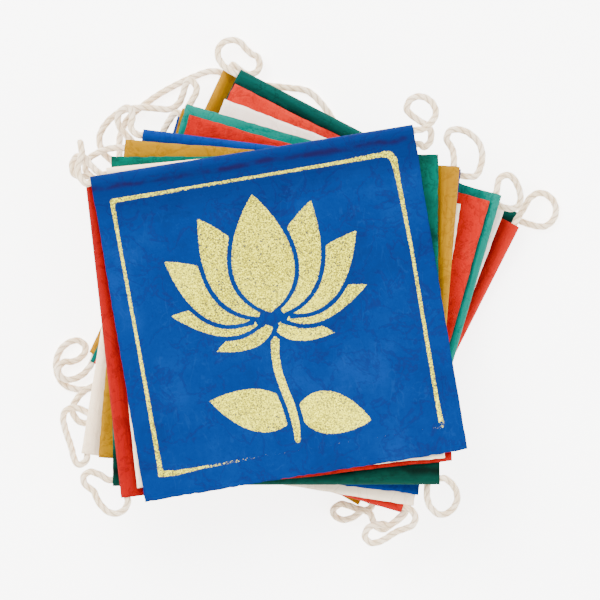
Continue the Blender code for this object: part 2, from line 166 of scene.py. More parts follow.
def field(seed, size, cell):
    """A smooth random surface from -1 to 1 over size mm, with humps about cell mm apart."""
    rng = np.random.default_rng(seed)
    n = int(size / cell) + 6
    knots = rng.uniform(-1.0, 1.0, (n, n))

    def at(u, v):
        a, b = np.asarray(u) / cell + 2.0, np.asarray(v) / cell + 2.0
        i = np.clip(a.astype(int), 0, n - 2)
        j = np.clip(b.astype(int), 0, n - 2)
        fa, fb = np.clip(a - i, 0, 1), np.clip(b - j, 0, 1)
        fa, fb = fa * fa * (3 - 2 * fa), fb * fb * (3 - 2 * fb)
        low = knots[i, j] * (1 - fa) + knots[i + 1, j] * fa
        high = knots[i, j + 1] * (1 - fa) + knots[i + 1, j + 1] * fa
        return low * (1 - fb) + high * fb

    return at


class Flag:
    """One flag's plan: u runs along its casing and v from the fold to the far edge, in mm."""

    def __init__(self, number, row):
        row = dict(zip(FLAG_COLUMNS, row))
        self.number = number
        self.dye = row["dye"]
        self.shade = row["shade"]
        self.crease = row["crease"]
        self.node = f"flag_{number:02d}_{self.dye}"
        turn = math.radians(row["turn"])
        side = math.radians(row["turn"] + row["lean"])
        wide = np.array((math.cos(turn), -math.sin(turn))) * row["width"] * STEP
        deep = np.array((-math.sin(side), -math.cos(side))) * row["depth"] * STEP
        corner = spot(row["x"], row["y"])
        self.start, self.along, self.inward = {
            "top": (corner, wide, deep),
            "bottom": (corner + deep, wide, -deep),
            "left": (corner, deep, wide),
            "right": (corner + wide, deep, -wide),
        }[row["casing"]]
        self.u_size = float(np.linalg.norm(self.along))
        self.v_size = float(np.linalg.norm(self.inward))
        self.short_v, self.short_u = CUT_SHORT.get(number, (0.0, 0.0))

    def at(self, u, v):
        """Where in the plan a place on the flag lies, in mm from the pile's middle."""
        u = np.asarray(u, float)[..., None] / self.u_size
        v = np.asarray(v, float)[..., None] / self.v_size
        return self.start + u * self.along + v * self.inward


def top_of(tree, x, y):
    """Height in mm of a CAD node's top at a place in mm, or None beside it."""
    hit = tree.ray_cast(Vector((x * MM, y * MM, 0.2)), Vector((0, 0, -1)))[0]
    return None if hit is None else hit.z / MM


class Drape:
    """How high a flag lies: the underside of its CAD solid, read from above and smoothed a little."""

    CELL = 2.5

    def __init__(self, flag):
        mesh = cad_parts[flag.node].data
        points = [v.co.copy() for v in mesh.vertices]
        tree = BVHTree.FromPolygons(points, [tuple(p.vertices) for p in mesh.polygons])
        self.us = np.linspace(0, flag.u_size, int(flag.u_size / self.CELL) + 1)
        tail = np.linspace(FLAP_STEP, flag.v_size, int((flag.v_size - FLAP_STEP) / self.CELL) + 1)
        self.vs = np.concatenate(((0.0, CASING_FLAT, FLAP), tail))
        read_v = np.concatenate(((CASING_MIDDLE, CASING_MIDDLE, FLAP - 0.3), tail))
        crest = 2 * CASING_MIDDLE
        top = np.concatenate(((crest, crest, OVER_FLAP + LOW), tail * 0 + PAPER_SOLID))
        high = np.zeros((len(self.us), len(self.vs)))
        for i, u in enumerate(np.clip(self.us, 0.4, flag.u_size - 0.4)):
            for j, v in enumerate(np.clip(read_v, 0.4, flag.v_size - 0.4)):
                x, y = flag.at(u, v)
                found = top_of(tree, x, y)
                high[i, j] = np.nan if found is None else found - top[j]
        if np.isnan(high).any():
            raise RuntimeError(f"{flag.node} isn't where its table row says")
        for _ in range(3):
            high[1:-1] = 0.25 * (high[:-2] + 2 * high[1:-1] + high[2:])
            high[:, 4:-1] = 0.25 * (high[:, 3:-2] + 2 * high[:, 4:-1] + high[:, 5:])
        self.high = high

    def at(self, u, v):
        """Height in mm of the flag's underside at a place on it."""
        a = np.interp(u, self.us, np.arange(len(self.us)))
        b = np.interp(v, self.vs, np.arange(len(self.vs)))
        i = np.clip(a.astype(int), 0, len(self.us) - 2)
        j = np.clip(b.astype(int), 0, len(self.vs) - 2)
        fa, fb = a - i, b - j
        near = self.high[i, j] * (1 - fa) + self.high[i + 1, j] * fa
        far = self.high[i, j + 1] * (1 - fa) + self.high[i + 1, j + 1] * fa
        return near * (1 - fb) + far * fb


def casing_section():
    """The paper's middle line from the flap's edge round the string and down onto the flap."""
    line = [(FLAP - 0.4 - 0.9 * k, LOW) for k in range(11)]
    line += [(CASING_FLAT - 0.4 - 1.2 * k, LOW) for k in range(5)]
    for k in range(1, 14):
        t = math.radians(-90 - k * 180 / 14)
        line.append((CASING_MIDDLE + CASING_R * math.cos(t), CASING_MIDDLE + CASING_R * math.sin(t)))
    for t in np.arange(12) / 11:
        ease = 0.55 * t * t * (3 - 2 * t) + 0.45 * t
        v = CASING_MIDDLE + (CASING_FLAT - CASING_MIDDLE) * t
        line.append((v, CREST + (OVER_FLAP - CREST) * ease))
    return line


def stations(size, start, fine, coarse, rim):
    """Places from start to size: fine steps within rim of the far end, coarse ones in the middle."""
    near = np.arange(start, rim, fine)
    middle = np.arange(rim, size - rim, coarse)
    far = np.linspace(size - rim, size, int(rim / fine) + 1)
    return np.concatenate((near, middle, far))


class HeightMap:
    """The highest paper or string so far, in cells of 0.8 mm."""

    CELL = 0.8
    REACH = 116.0

    def __init__(self):
        n = int(2 * self.REACH / self.CELL)
        self.high = np.zeros((n, n))

    def cells(self, plan):
        """The rows and columns of the cells that places in mm lie in."""
        c = ((plan + self.REACH) / self.CELL).astype(int)
        c = np.clip(c, 0, len(self.high) - 1)
        return c[..., 0], c[..., 1]

    def add(self, plan, z):
        """Raises the cells under the places to their heights."""
        np.maximum.at(self.high, self.cells(plan), z)


def sheet_mesh(flag, drape, below, paper, fine):
    """The whole sheet as one grid, from the flap's edge round the string to the far edge."""
    section = casing_section()
    over = np.arange(CASING_FLAT + 0.8, FLAP, 1.2)
    step = np.linspace(FLAP, FLAP_STEP, 6)
    u_end, v_end = flag.u_size - flag.short_u, flag.v_size - flag.short_v
    if fine:
        us = np.linspace(0, u_end, int(u_end / 0.8) + 1)
        tail = np.linspace(FLAP_STEP, v_end, int((v_end - FLAP_STEP) / 0.8) + 1)[1:]
    else:
        us = stations(u_end, 0.0, 1.3, 4.0, 30.0)
        tail = stations(v_end, FLAP_STEP + 1.3, 1.3, 4.0, 34.0)
    rows = section + [(v, OVER_FLAP) for v in over]
    for v in step:
        t = (v - FLAP) / (FLAP_STEP - FLAP)
        rows.append((v, OVER_FLAP + (LOW - OVER_FLAP) * t * t * (3 - 2 * t)))
    rows += [(v, LOW) for v in tail]
    rows = np.array(rows)
    first = len(section)
    run = np.concatenate(((0.0,), np.cumsum(np.hypot(np.diff(rows[:, 0]), np.diff(rows[:, 1])))))
    u, v = np.meshgrid(us, rows[:, 0], indexing="ij")
    rise = np.broadcast_to(rows[:, 1], u.shape)
    run = np.broadcast_to(run, u.shape)

    def waves(number, cell):
        return field(40 * flag.number + number, SHEET_REACH, cell)

    # The casing is pressed a little flatter here and there.
    pressed = 0.5 + 0.5 * waves(7, 14)(u, v * 0.2)
    pressed += 0.3 * waves(8, 5)(u, v * 0.4)
    crest = np.clip((rise - 2.6) / 2.4, 0, 1) * (v < CASING_FLAT)
    z = drape.at(u, v) + rise - 0.42 * np.clip(pressed, 0, 1) * crest
    # Soft cockling of handmade paper, and smaller crumples over it.
    away = np.clip((v - 4.0) / 8.0, 0, 1)
    cockle = 0.17 * waves(0, 17)(u, v) + 0.09 * waves(1, 6.5)(u, v)
    crumple = 0.05 * waves(2, 2.6)(u, v)
    z = z + paper.cockle * (cockle + crumple) * (0.25 + 0.75 * away)
    # Hand-cut edges wander, and wander more at the far edge.
    wander = 0.2 * waves(3, 16)(u, v) + 0.13 * waves(4, 2.8)(u, v)
    out_u = wander * (np.exp(-u / 5) - np.exp(-(u_end - u) / 5))
    wander = 0.34 * waves(5, 12)(u, v) + 0.2 * waves(6, 2.0)(u, v)
    out_v = wander * np.exp(-(v_end - v) / 5)
    ends = np.clip((v - 6.0) / 6.0, 0, 1)
    plan = flag.at(u + out_u * (0.4 + 0.6 * ends), v + out_v)
    half = paper.thickness / 2
    held = np.arange(len(rows)) >= first - HELD_UP
    cells = below.cells(plan)
    z = np.where(held, np.maximum(z, below.high[cells] + half + 0.04), z)
    z = np.maximum(z, half + 0.01)
    count_u, count_s = u.shape
    points = np.dstack((plan, z)).reshape(-1, 3) * MM
    index = np.arange(count_u * count_s).reshape(count_u, count_s)
    quads = np.stack((index[:-1, :-1], index[1:, :-1], index[1:, 1:], index[:-1, 1:]), -1)
    quads = quads.reshape(-1, 4)
    turned = flag.along[0] * flag.inward[1] - flag.along[1] * flag.inward[0]
    if turned < 0:
        quads = quads[:, ::-1]
    mesh = bpy.data.meshes.new(flag.node + "_sheet")
    mesh.from_pydata(points.tolist(), [], quads.tolist())
    mesh.polygons.foreach_set("use_smooth", np.ones(len(quads), bool))
    layer = mesh.uv_layers.new(name="sheet")
    corners = np.zeros(len(mesh.loops), np.int32)
    mesh.loops.foreach_get("vertex_index", corners)
    flat = np.column_stack((u.ravel(), run.ravel())) / SHEET_MAP
    layer.uv.foreach_set("vector", flat[corners].astype(np.float32).ravel())
    # What it adds to the pile, for the next sheet up: the casing's crest, then the sheet itself.
    gu, gv = np.meshgrid(np.arange(0, u_end, 0.7), np.arange(0.6, v_end, 0.7), indexing="ij")
    knots = [0, CASING_MIDDLE, CASING_FLAT, FLAP, FLAP_STEP]
    level = np.interp(gv, knots, [3.0, CREST, OVER_FLAP, OVER_FLAP, LOW])
    below.add(flag.at(gu, gv), drape.at(gu, gv) + level + half)
    below.add(plan[:, first:], (z + half)[:, first:])
    return mesh, plan.reshape(-1, 2), flat


def distance_to_line(points, line):
    """Distance in mm to a stroke whose half width changes from point to point."""
    best = np.full(len(points), 99.0)
    for (ax, ay, aw), (bx, by, bw) in zip(line, line[1:]):
        a, b = np.array((ax, ay)), np.array((bx, by))
        t = np.clip((points - a) @ (b - a) / ((b - a) @ (b - a)), 0, 1)
        near = a + t[:, None] * (b - a)
        best = np.minimum(best, np.linalg.norm(points - near, axis=1) - (aw + (bw - aw) * t))
    return best


def distance_to_petal(points, row):
    """Signed distance in mm to a pointed oval from its base to its tip."""
    bx, by, tx, ty, wide = row
    base, tip = np.array((bx, by)), np.array((tx, ty))
    long = np.linalg.norm(tip - base)
    axis = (tip - base) / long
    local = points - base
    s, t = local @ axis, local @ np.array((-axis[1], axis[0]))
    # Two arcs whose chord is the petal's length and whose rise is half its width.
    rise = wide / 2
    radius = (long * long / 4 + rise * rise) / (2 * rise)
    reach = radius - rise
    shift = s - long / 2
    # The widest place lies nearer to the base.
    shift = shift + 0.10 * long * (1 - np.clip(shift / (long / 2), -1, 1) ** 2)
    left = np.hypot(shift, t + reach) - radius
    right = np.hypot(shift, t - reach) - radius
    return np.maximum(left, right)


def print_distance(plan):
    """Signed distance in mm from each place to the printed shapes' edge, and how worn the ink is."""
    edge = np.full(len(plan), 99.0)
    wear = np.zeros(len(plan))
    for k, line in enumerate(FRAME_LINE):
        placed = [(*spot(x, y), half) for x, y, half in line]
        near = distance_to_line(plan, placed)
        edge = np.minimum(edge, near)
        if k == len(FRAME_LINE) - 1:
            x = plan[:, 0] / STEP + PILE_AT[0]
            faded = np.interp(x, [180, 262, 300, 430, 441], [0.0, 0.75, 0.95, 0.95, 0.6])
            wear = np.where(near < 2.0, faded, wear)
    middle = spot(*LOTUS_AT)
    t = math.radians(LOTUS_TURN)
    turn = np.array(((math.cos(t), -math.sin(t)), (math.sin(t), math.cos(t))))
    local = (plan - middle) @ turn
    drawn = np.full(len(plan), 99.0)
    for row in LOTUS_PETALS:
        petal = distance_to_petal(local, row)
        drawn = np.minimum(drawn, np.maximum(petal, PETAL_GAP - drawn))
    stem = distance_to_line(local, LOTUS_STEM)
    drawn = np.minimum(drawn, np.maximum(stem, PETAL_GAP - drawn))
    for row in LOTUS_LEAVES:
        leaf = distance_to_petal(local, row)
        drawn = np.minimum(drawn, np.maximum(leaf, PETAL_GAP - drawn))
    return np.minimum(edge, drawn), wear


def add(tree, kind, inputs=(), **settings):
    """Adds a node: its settings by name, and its inputs by name or number as values or links."""
    made = tree.nodes.new("ShaderNode" + kind)
    for name, value in settings.items():
        setattr(made, name, value)
    for key, value in dict(inputs).items():
        socket = made.inputs[key]
        if isinstance(value, bpy.types.NodeSocket):
            tree.links.new(value, socket)
        else:
            socket.default_value = value
    return made


def new_material(name):
    """A new material with its node tree and its shader."""
    made = bpy.data.materials.new(name)
    made.use_nodes = True
    tree = made.node_tree
    shader = tree.nodes["Principled BSDF"]
    return made, tree, shader


def rgba(code):
    """A hex code as the four numbers of a colour socket."""
    return (*linear(code), 1.0)


def mixed(tree, factor, a, b):
    """Two colours mixed: a where the factor is 0, b where it is 1."""
    made = add(tree, "Mix", data_type="RGBA", clamp_factor=True)
    for number, value in ((0, factor), (6, a), (7, b)):
        socket = made.inputs[number]
        if isinstance(value, bpy.types.NodeSocket):
            tree.links.new(value, socket)
        else:
            socket.default_value = value
    return made.outputs[2]


def maths(tree, kind, *values):
    """One step of arithmetic on values or links."""
    return add(tree, "Math", dict(enumerate(values)), operation=kind).outputs[0]


def weighed(tree, *terms):
    """The sum of values, each times its weight."""
    total = 0.0
    for value, weight in terms:
        total = add(tree, "Math", {0: value, 1: weight, 2: total}, operation="MULTIPLY_ADD").outputs[0]
    return total


def spread(tree, value, low, high, to_low=0.0, to_high=1.0):
    """A value's range low to high as to_low to to_high, eased at both ends."""
    ends = {0: value, 1: low, 2: high, 3: to_low, 4: to_high}
    return add(tree, "MapRange", ends, interpolation_type="SMOOTHSTEP").outputs[0]


def noise(tree, where, size, detail=3.0, rough=0.55, distort=0.0):
    """Noise whose humps are about size mm across."""
    texture = {"Vector": where, "Scale": 1.0 / size, "Detail": detail, "Roughness": rough}
    texture["Distortion"] = distort
    return add(tree, "TexNoise", texture).outputs["Fac"]


def lokta_paper(name, flag, crease, printed=None):
    """Handmade lokta paper, brushed with dye: a matt felt of long bark fibres that takes the dye in
    clouds, with painted shade in its creases and crumples, and pale fibres and specks on top."""
    body, light, dark, crease_shade_and_fleck, fibre = SHADES[flag.shade]
    seed = flag.number
    crease_at, crease_wide, crease_dark = flag.crease
    made, tree, shader = new_material(name)
    uv = add(tree, "UVMap", uv_map="sheet").outputs[0]
    # The map times its unit gives mm on the flat sheet, here on a stretch of each flag's own.
    apart = (seed * 31.0, seed * 17.0, seed * 5.0)
    flat = add(tree, "Mapping", {0: uv, 1: apart, 3: (SHEET_MAP,) * 3}).outputs[0]
    place = add(tree, "Mapping", {0: uv, 3: (SHEET_MAP,) * 3}).outputs[0]
    run = add(tree, "SeparateXYZ", {0: place}).outputs[1]
    cloud = noise(tree, flat, 24.0, 4.0, 0.6)
    colour = mixed(tree, spread(tree, cloud, 0.5, 0.72, 0, 0.75), rgba(body), rgba(light))
    colour = mixed(tree, spread(tree, cloud, 0.5, 0.3, 0, 0.7), colour, rgba(dark))
    # Beaten pulp, mottled at about a millimetre.
    pulp = noise(tree, flat, 1.6, 4.0, 0.65)
    colour = mixed(tree, spread(tree, pulp, 0.52, 0.8, 0, 0.45), colour, rgba(light))
    colour = mixed(tree, spread(tree, pulp, 0.48, 0.22, 0, 0.5), colour, rgba(dark))
    tooth = noise(tree, flat, 0.7, 3.0, 0.6)
    colour = mixed(tree, spread(tree, tooth, 0.48, 0.3, 0, 0.4), colour, rgba(dark))
    # Bark fibres about 0.3 mm wide: thin contour lines of two stretched noises, broken up.
    lines = []
    for k, (size, tall, turn) in enumerate(((5.0, 0.35, 0.5), (7.0, 0.3, 2.1))):
        turned = add(
            tree, "Mapping", {0: flat, 1: (k * 91.0, 0, 0), 2: (0, 0, turn), 3: (1.0, tall, 1.0)}
        )
        level = noise(tree, turned.outputs[0], size, 1.5, 0.5, 0.8)
        off = maths(tree, "ABSOLUTE", maths(tree, "SUBTRACT", level, 0.5))
        lines.append(spread(tree, off, 0.012, 0.004))
    fibres = maths(tree, "MAXIMUM", lines[0], lines[1])
    broken = spread(tree, noise(tree, flat, 9.0, 2.0), 0.48, 0.6)
    fibres = maths(tree, "MULTIPLY", fibres, broken)
    colour = mixed(tree, maths(tree, "MULTIPLY", fibres, 0.12), colour, rgba(fibre))
    # Darker over the casing and the flap under it, fading out between 10 and 23 mm from the fold; its
    # strength follows the crease's.
    casing_darkening = spread(tree, run, run_at(23.0), run_at(10.0), 0.0, 0.9 * crease_dark)
    colour = mixed(tree, casing_darkening, colour, rgba(dark))
    # Pulling it round the string left ridges along the casing, about a millimetre apart, with painted
    # shade in their hollows.
    drawn = add(tree, "Mapping", {0: flat, 3: (0.09, 1.0, 1.0)}).outputs[0]
    ridges = noise(tree, drawn, 1.5, 3.0, 0.6)
    by_casing = spread(tree, run, run_at(19.0), run_at(11.0))
    ridge_shade = maths(tree, "MULTIPLY", by_casing, spread(tree, ridges, 0.5, 0.36, 0.0, 0.55))
    colour = mixed(tree, ridge_shade, colour, rgba(dark))
    # Painted shade in the crease beside the casing and in the valleys of the paper's crumples.
    fold = weighed(tree, (run, 1.0), (maths(tree, "SUBTRACT", noise(tree, flat, 12.0, 3.0), 0.5), 3.6))
    near = maths(tree, "ABSOLUTE", maths(tree, "SUBTRACT", fold, run_at(crease_at)))
    line = spread(tree, near, crease_wide, 0.1, 0.0, crease_dark * crease)
    patchy = spread(tree, noise(tree, flat, 14.0, 3.0, 0.6), 0.38, 0.56, 0.12, 1.0)
    line = maths(tree, "MULTIPLY", line, patchy)
    crumple = noise(tree, flat, 13.0, 5.0, 0.62, 0.6)
    valley = maths(tree, "ABSOLUTE", maths(tree, "SUBTRACT", crumple, 0.5))
    crumple_shade = spread(tree, valley, 0.03, 0.0, 0.0, 0.34)
    painted_crease_shade = maths(tree, "MAXIMUM", line, crumple_shade)
    colour = mixed(tree, painted_crease_shade, colour, rgba(crease_shade_and_fleck))
    # Flecks of bark, about half a millimetre across and two or three to a hand's breadth.
    fleck = add(tree, "TexVoronoi", {"Vector": flat, "Scale": 1 / 9.0}, feature="F1")
    chosen = add(tree, "SeparateColor", {0: fleck.outputs["Color"]}).outputs[0]
    spot_on = maths(tree, "MULTIPLY", spread(tree, fleck.outputs["Distance"], 0.05, 0.025), 0.8)
    spot_on = maths(tree, "MULTIPLY", spot_on, spread(tree, chosen, 0.80, 0.84))
    colour = mixed(tree, spot_on, colour, rgba(crease_shade_and_fleck))
    ridge = spread(tree, valley, 0.0, 0.09)
    height = weighed(tree, (tooth, 0.05), (fibres, 0.03), (ridge, 0.12), (pulp, 0.08))
    height = weighed(tree, (height, 1.0), (maths(tree, "MULTIPLY", ridges, by_casing), 0.5))
    rough = spread(tree, pulp, 0.3, 0.7, 0.78, 0.92)
    metal = None
    if printed is not None:
        edge = add(tree, "Attribute", attribute_name="print_edge").outputs["Fac"]
        wear = add(tree, "Attribute", attribute_name="print_wear").outputs["Fac"]
        ragged = maths(tree, "SUBTRACT", noise(tree, flat, 1.3, 3.0, 0.7), 0.5)
        edge = maths(tree, "ADD", edge, maths(tree, "MULTIPLY", ragged, 0.8))
        inked = spread(tree, edge, 0.10, -0.12)
        grain = noise(tree, flat, 0.6, 3.0, 0.8)
        hold = maths(tree, "ADD", grain, maths(tree, "MULTIPLY", wear, -0.33))
        inked = maths(tree, "MULTIPLY", inked, spread(tree, hold, 0.37, 0.43))
        # The grains' dim and bright colours are painted shade and painted glints, and a broad cloud
        # paints sheen over the gold.
        dim, mid, bright = printed
        gold = mixed(tree, spread(tree, grain, 0.40, 0.54), (*dim, 1.0), (*mid, 1.0))
        gold = mixed(tree, spread(tree, grain, 0.52, 0.64), gold, (*bright, 1.0))
        sheen = noise(tree, flat, 30.0, 2.0)
        gold = mixed(tree, spread(tree, sheen, 0.4, 0.65, 0, 0.25), gold, (*bright, 1.0))
        colour = mixed(tree, inked, colour, gold)
        rough = spread(tree, inked, 0.0, 1.0, 0.85, 0.52)
        metal = maths(tree, "MULTIPLY", inked, 0.2)
        grains = maths(tree, "MULTIPLY", grain, inked)
        height = weighed(tree, (height, 1.0), (inked, 0.05), (grains, 0.12))
    bump = add(tree, "Bump", {"Height": height, "Strength": 0.55, "Distance": 0.001})
    tree.links.new(bump.outputs[0], shader.inputs["Normal"])
    tree.links.new(colour, shader.inputs["Base Color"])
    tree.links.new(rough, shader.inputs["Roughness"])
    if metal is not None:
        tree.links.new(metal, shader.inputs["Metallic"])
    shader.inputs["IOR"].default_value = 1.5
    shader.inputs["Specular IOR Level"].default_value = 0.04
    shader.inputs["Sheen Weight"].default_value = 0.005
    shader.inputs["Sheen Roughness"].default_value = 0.6
    return made


def plied_cotton(colours):
    """Soft undyed cotton, loosely spun and plied: matt and a little fuzzy, with warm painted shade
    between its yarns and in the grooves between its strands.
    """
    light, shade = colours
    made, tree, shader = new_material("cotton string, undyed, loosely plied")
    uv = add(tree, "UVMap", uv_map="strand").outputs[0]
    # The map times its unit gives mm round the string and along it.
    flat = add(tree, "Mapping", {0: uv, 3: (STRAND_MAP, STRAND_MAP, 1.0)}).outputs[0]
    # Yarns run at a slant to the string: about 0.25 mm wide, drawn at 0.35 mm so that they show.
    slanted = add(tree, "Mapping", {0: flat, 2: (0, 0, 0.62), 3: (1.0, 0.16, 1.0)}).outputs[0]
    yarn = noise(tree, slanted, 0.42, 3.0, 0.6)
    patch = noise(tree, flat, 9.0, 3.0, 0.6)
    groove = add(tree, "Attribute", attribute_name="groove").outputs["Fac"]
    # Lit and shaded yarn colours, the shaded one being painted shade between the yarns.
    colour = mixed(tree, spread(tree, yarn, 0.35, 0.7), (*shade, 1.0), (*light, 1.0))
    colour = mixed(tree, spread(tree, patch, 0.42, 0.62, 0, 0.5), colour, rgba("#FAECDA"))
    # Painted shade deep in the grooves between the strands.
    colour = mixed(tree, spread(tree, groove, 0.25, 1.0, 0.0, 0.8), colour, rgba("#9A7E5D"))
    height = maths(tree, "MULTIPLY", yarn, 0.35)
    bump = add(tree, "Bump", {"Height": height, "Strength": 0.6, "Distance": 0.001})
    tree.links.new(bump.outputs[0], shader.inputs["Normal"])
    tree.links.new(colour, shader.inputs["Base Color"])
    tree.links.new(spread(tree, yarn, 0.3, 0.7, 0.84, 0.95), shader.inputs["Roughness"])
    shader.inputs["Specular IOR Level"].default_value = 0.25
    shader.inputs["Sheen Weight"].default_value = 0.35
    shader.inputs["Sheen Roughness"].default_value = 0.5
    return made


def smooth_board(colour, glow):
    """Matt white board lit from below, as a light table: no gloss, and a trace of unevenness."""
    made, tree, shader = new_material("matt white board")
    where = add(tree, "TexCoord").outputs["Object"]
    cloud = add(tree, "TexNoise", {"Vector": where, "Scale": 3.0, "Detail": 2.0}).outputs["Fac"]
    darker = tuple(0.985 * c for c in colour)
    tint = mixed(tree, cloud, (*darker, 1.0), (*colour, 1.0))
    tree.links.new(tint, shader.inputs["Base Color"])
    shader.inputs["Roughness"].default_value = 0.95
    shader.inputs["Specular IOR Level"].default_value = 0.1
    tree.links.new(tint, shader.inputs["Emission Color"])
    shader.inputs["Emission Strength"].default_value = glow
    return made


def run_at(v):
    """How far along the sheet, from the flap's edge, its upper side is v mm from the fold."""
    line = np.array(casing_section())
    run = np.concatenate(((0.0,), np.cumsum(np.hypot(*np.diff(line, axis=0).T))))
    upper = line[:, 1] > CASING_MIDDLE
    if v > CASING_FLAT:
        return float(run[-1] + v - CASING_FLAT)
    upper |= np.arange(len(line)) >= len(line) - 3
    return float(np.interp(v, line[upper, 0], run[upper]))


def string_middle():
    """The string's centreline in mm, as the middle of each ring of its CAD tube."""
    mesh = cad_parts["string"].data
    co = np.array([v.co[:] for v in mesh.vertices]) / MM
    _, first, same = np.unique(np.round(co, 4), axis=0, return_index=True, return_inverse=True)
    same = same.ravel()
    co = co[first]
    near = [set() for _ in range(len(co))]
    for polygon in mesh.polygons:
        ring = [same[i] for i in polygon.vertices]
        for a, b in zip(ring, ring[1:] + ring[:1]):
            if a != b:
                near[a].add(b)
                near[b].add(a)
    # Followed ring by ring from the garland's upper end.
    tip = np.array((*spot(79.5, 139.5), 42.0))
    ring = set(np.argsort(np.linalg.norm(co - tip, axis=1))[:8].tolist())
    seen, middles = set(), []
    while ring:
        middles.append(co[sorted(ring)].mean(0))
        seen |= ring
        ring = set().union(*(near[i] for i in ring)) - seen
    return np.array(middles)


def resampled(line, step):
    """Points every step mm on a smooth curve through line."""
    p = np.vstack((2 * line[0] - line[1], line, 2 * line[-1] - line[-2]))
    out = []
    for a, b, c, d in zip(p, p[1:], p[2:], p[3:]):
        g = [max(np.linalg.norm(q - r), 1e-6) ** 0.5 for q, r in ((a, b), (b, c), (c, d))]
        into = (b - a) / g[0] - (c - a) / (g[0] + g[1]) + (c - b) / g[1]
        away = (c - b) / g[1] - (d - b) / (g[1] + g[2]) + (d - c) / g[2]
        into, away = into * g[1], away * g[1]
        for t in np.linspace(0, 1, 8, endpoint=False):
            h = (2 * t**3 - 3 * t**2 + 1, t**3 - 2 * t**2 + t, 3 * t**2 - 2 * t**3, t**3 - t**2)
            out.append(h[0] * b + h[1] * into + h[2] * c + h[3] * away)
    out = np.array(out + [p[-2]])
    run = np.concatenate(((0.0,), np.cumsum(np.linalg.norm(np.diff(out, axis=0), axis=1))))
    at = np.linspace(0, run[-1], int(run[-1] / step) + 1)
    return np.column_stack([np.interp(at, run, out[:, k]) for k in range(3)]), run[-1]


def sides_along(line):
    """Two directions across the line at each point, which turn with it and don't twist round it."""
    ahead = np.gradient(line, axis=0)
    ahead /= np.linalg.norm(ahead, axis=1)[:, None]
    side = np.zeros_like(line)
    side[0] = np.cross(ahead[0], (0.3, 0.2, 0.9))
    side[0] /= np.linalg.norm(side[0])
    for k in range(1, len(line)):
        s = side[k - 1] - ahead[k] * (side[k - 1] @ ahead[k])
        side[k] = s / np.linalg.norm(s)
    return side, np.cross(ahead, side)


def plied_outline(cotton, full, run, angle):
    """Radius in mm at each angle round the string and each place along it, and how deep between the
    strands that is, from 0 to 1: round strands side by side, each with its middle core from the axis."""
    core = 0.24 * full
    strand = full - core
    wobble = field(901, STRING_REACH, 30)(run, run * 0)
    spin = 2 * math.pi * run / cotton.pitch
    arc = (angle[None] - spin[:, None] - 0.9 * wobble[:, None]) * cotton.plies
    near = (np.mod(arc + math.pi, 2 * math.pi) - math.pi) / cotton.plies
    radius = core * np.cos(near) + np.sqrt(strand**2 - (core * np.sin(near)) ** 2)
    groove = (full - radius) / (full - radius.min())
    radius = radius * (1 - 0.05 * (0.5 + 0.5 * field(905, STRING_REACH, 4)(run, run * 0)))[:, None]
    ends = np.minimum(run, run[-1] - run)
    return radius * np.sqrt(np.clip((ends + 0.35) / 1.3, 0.12, 1.0))[:, None], groove


def map_strand(mesh, around, run, full, quads):
    """Gives the string's mesh its map: across round the string, up along it."""
    which = np.zeros(len(mesh.loops), np.int32)
    mesh.loops.foreach_get("vertex_index", which)
    turn = 2 * math.pi * full / STRAND_MAP
    flat = np.zeros((len(mesh.loops), 2), np.float32)
    flat[:, 0] = (which % around) / around * turn
    flat[:, 1] = run[which // around] / STRAND_MAP
    # The last face round the ring reaches a full turn instead of going back to nothing.
    wide = flat[: quads * 4, 0].reshape(-1, 4)
    jump = (wide.max(1) - wide.min(1)) > 1.0
    wide[jump] = np.where(wide[jump] < 1.0, wide[jump] + turn, wide[jump])
    flat[: quads * 4, 0] = wide.ravel()
    mesh.uv_layers.new(name="strand").uv.foreach_set("vector", flat.ravel())


class GarlandPaper(bpy.types.PropertyGroup):
    """The papers' own numbers."""

    thickness: FloatProperty(
        name="Paper thickness", description="Of each sheet, in mm", default=0.42, min=0.1, max=0.7
    )
    cockle: FloatProperty(
        name="Cockling", description="How much the sheets wave, 1 as in new paper", default=1.0
    )
    # Strength of the painted shade in the crease by the casing.
    crease: FloatProperty(
        name="Crease", description="How dark the crease by the casing is", default=1.0, max=1.3
    )


class GarlandString(bpy.types.PropertyGroup):
    """The string's own numbers."""

    diameter: FloatProperty(name="Diameter", description="Of the string, in mm", default=2.8)
    pitch: FloatProperty(name="Twist", description="Length of one turn of the plies, mm", default=11.0)
    plies: IntProperty(name="Plies", description="Strands twisted together", default=3)
    light: FloatVectorProperty(
        name="Cotton", description="Its lit colour", subtype="COLOR", default=linear("#F3E0C0")
    )
    shade: FloatVectorProperty(
        name="Cotton shade", description="Between yarns", subtype="COLOR", default=linear("#CFB590")
    )


class GarlandPrint(bpy.types.PropertyGroup):
    """The gold print's colours, with painted shade and painted glints on its grains."""

    dim: FloatVectorProperty(
        name="Gold, dim", description="Grains turned away", subtype="COLOR", default=linear("#65591D")
    )
    mid: FloatVectorProperty(
        name="Gold", description="Most grains", subtype="COLOR", default=linear("#C0BA1D")
    )
    bright: FloatVectorProperty(
        name="Gold, bright", description="Grains that glint", subtype="COLOR", default=linear("#F9F350")
    )


class GarlandStage(bpy.types.PropertyGroup):
    """Floor, light and camera."""

    floor: FloatVectorProperty(
        name="Floor", description="The board's colour", subtype="COLOR", default=linear("#FFFFFF")
    )
    key: FloatProperty(name="Key light", description="Large soft lamp, in W", default=57.0, unit="POWER")
    fill: FloatProperty(name="Fill light", description="Second lamp, in W", default=25.0, unit="POWER")
    air: FloatProperty(name="Room light", description="Strength of the pale room", default=2.0)
    glow: FloatProperty(name="Board light", description="How much the board glows", default=4.0)
    far: FloatProperty(
        name="Camera height", description="Above the floor", default=5.0, unit="LENGTH"
    )


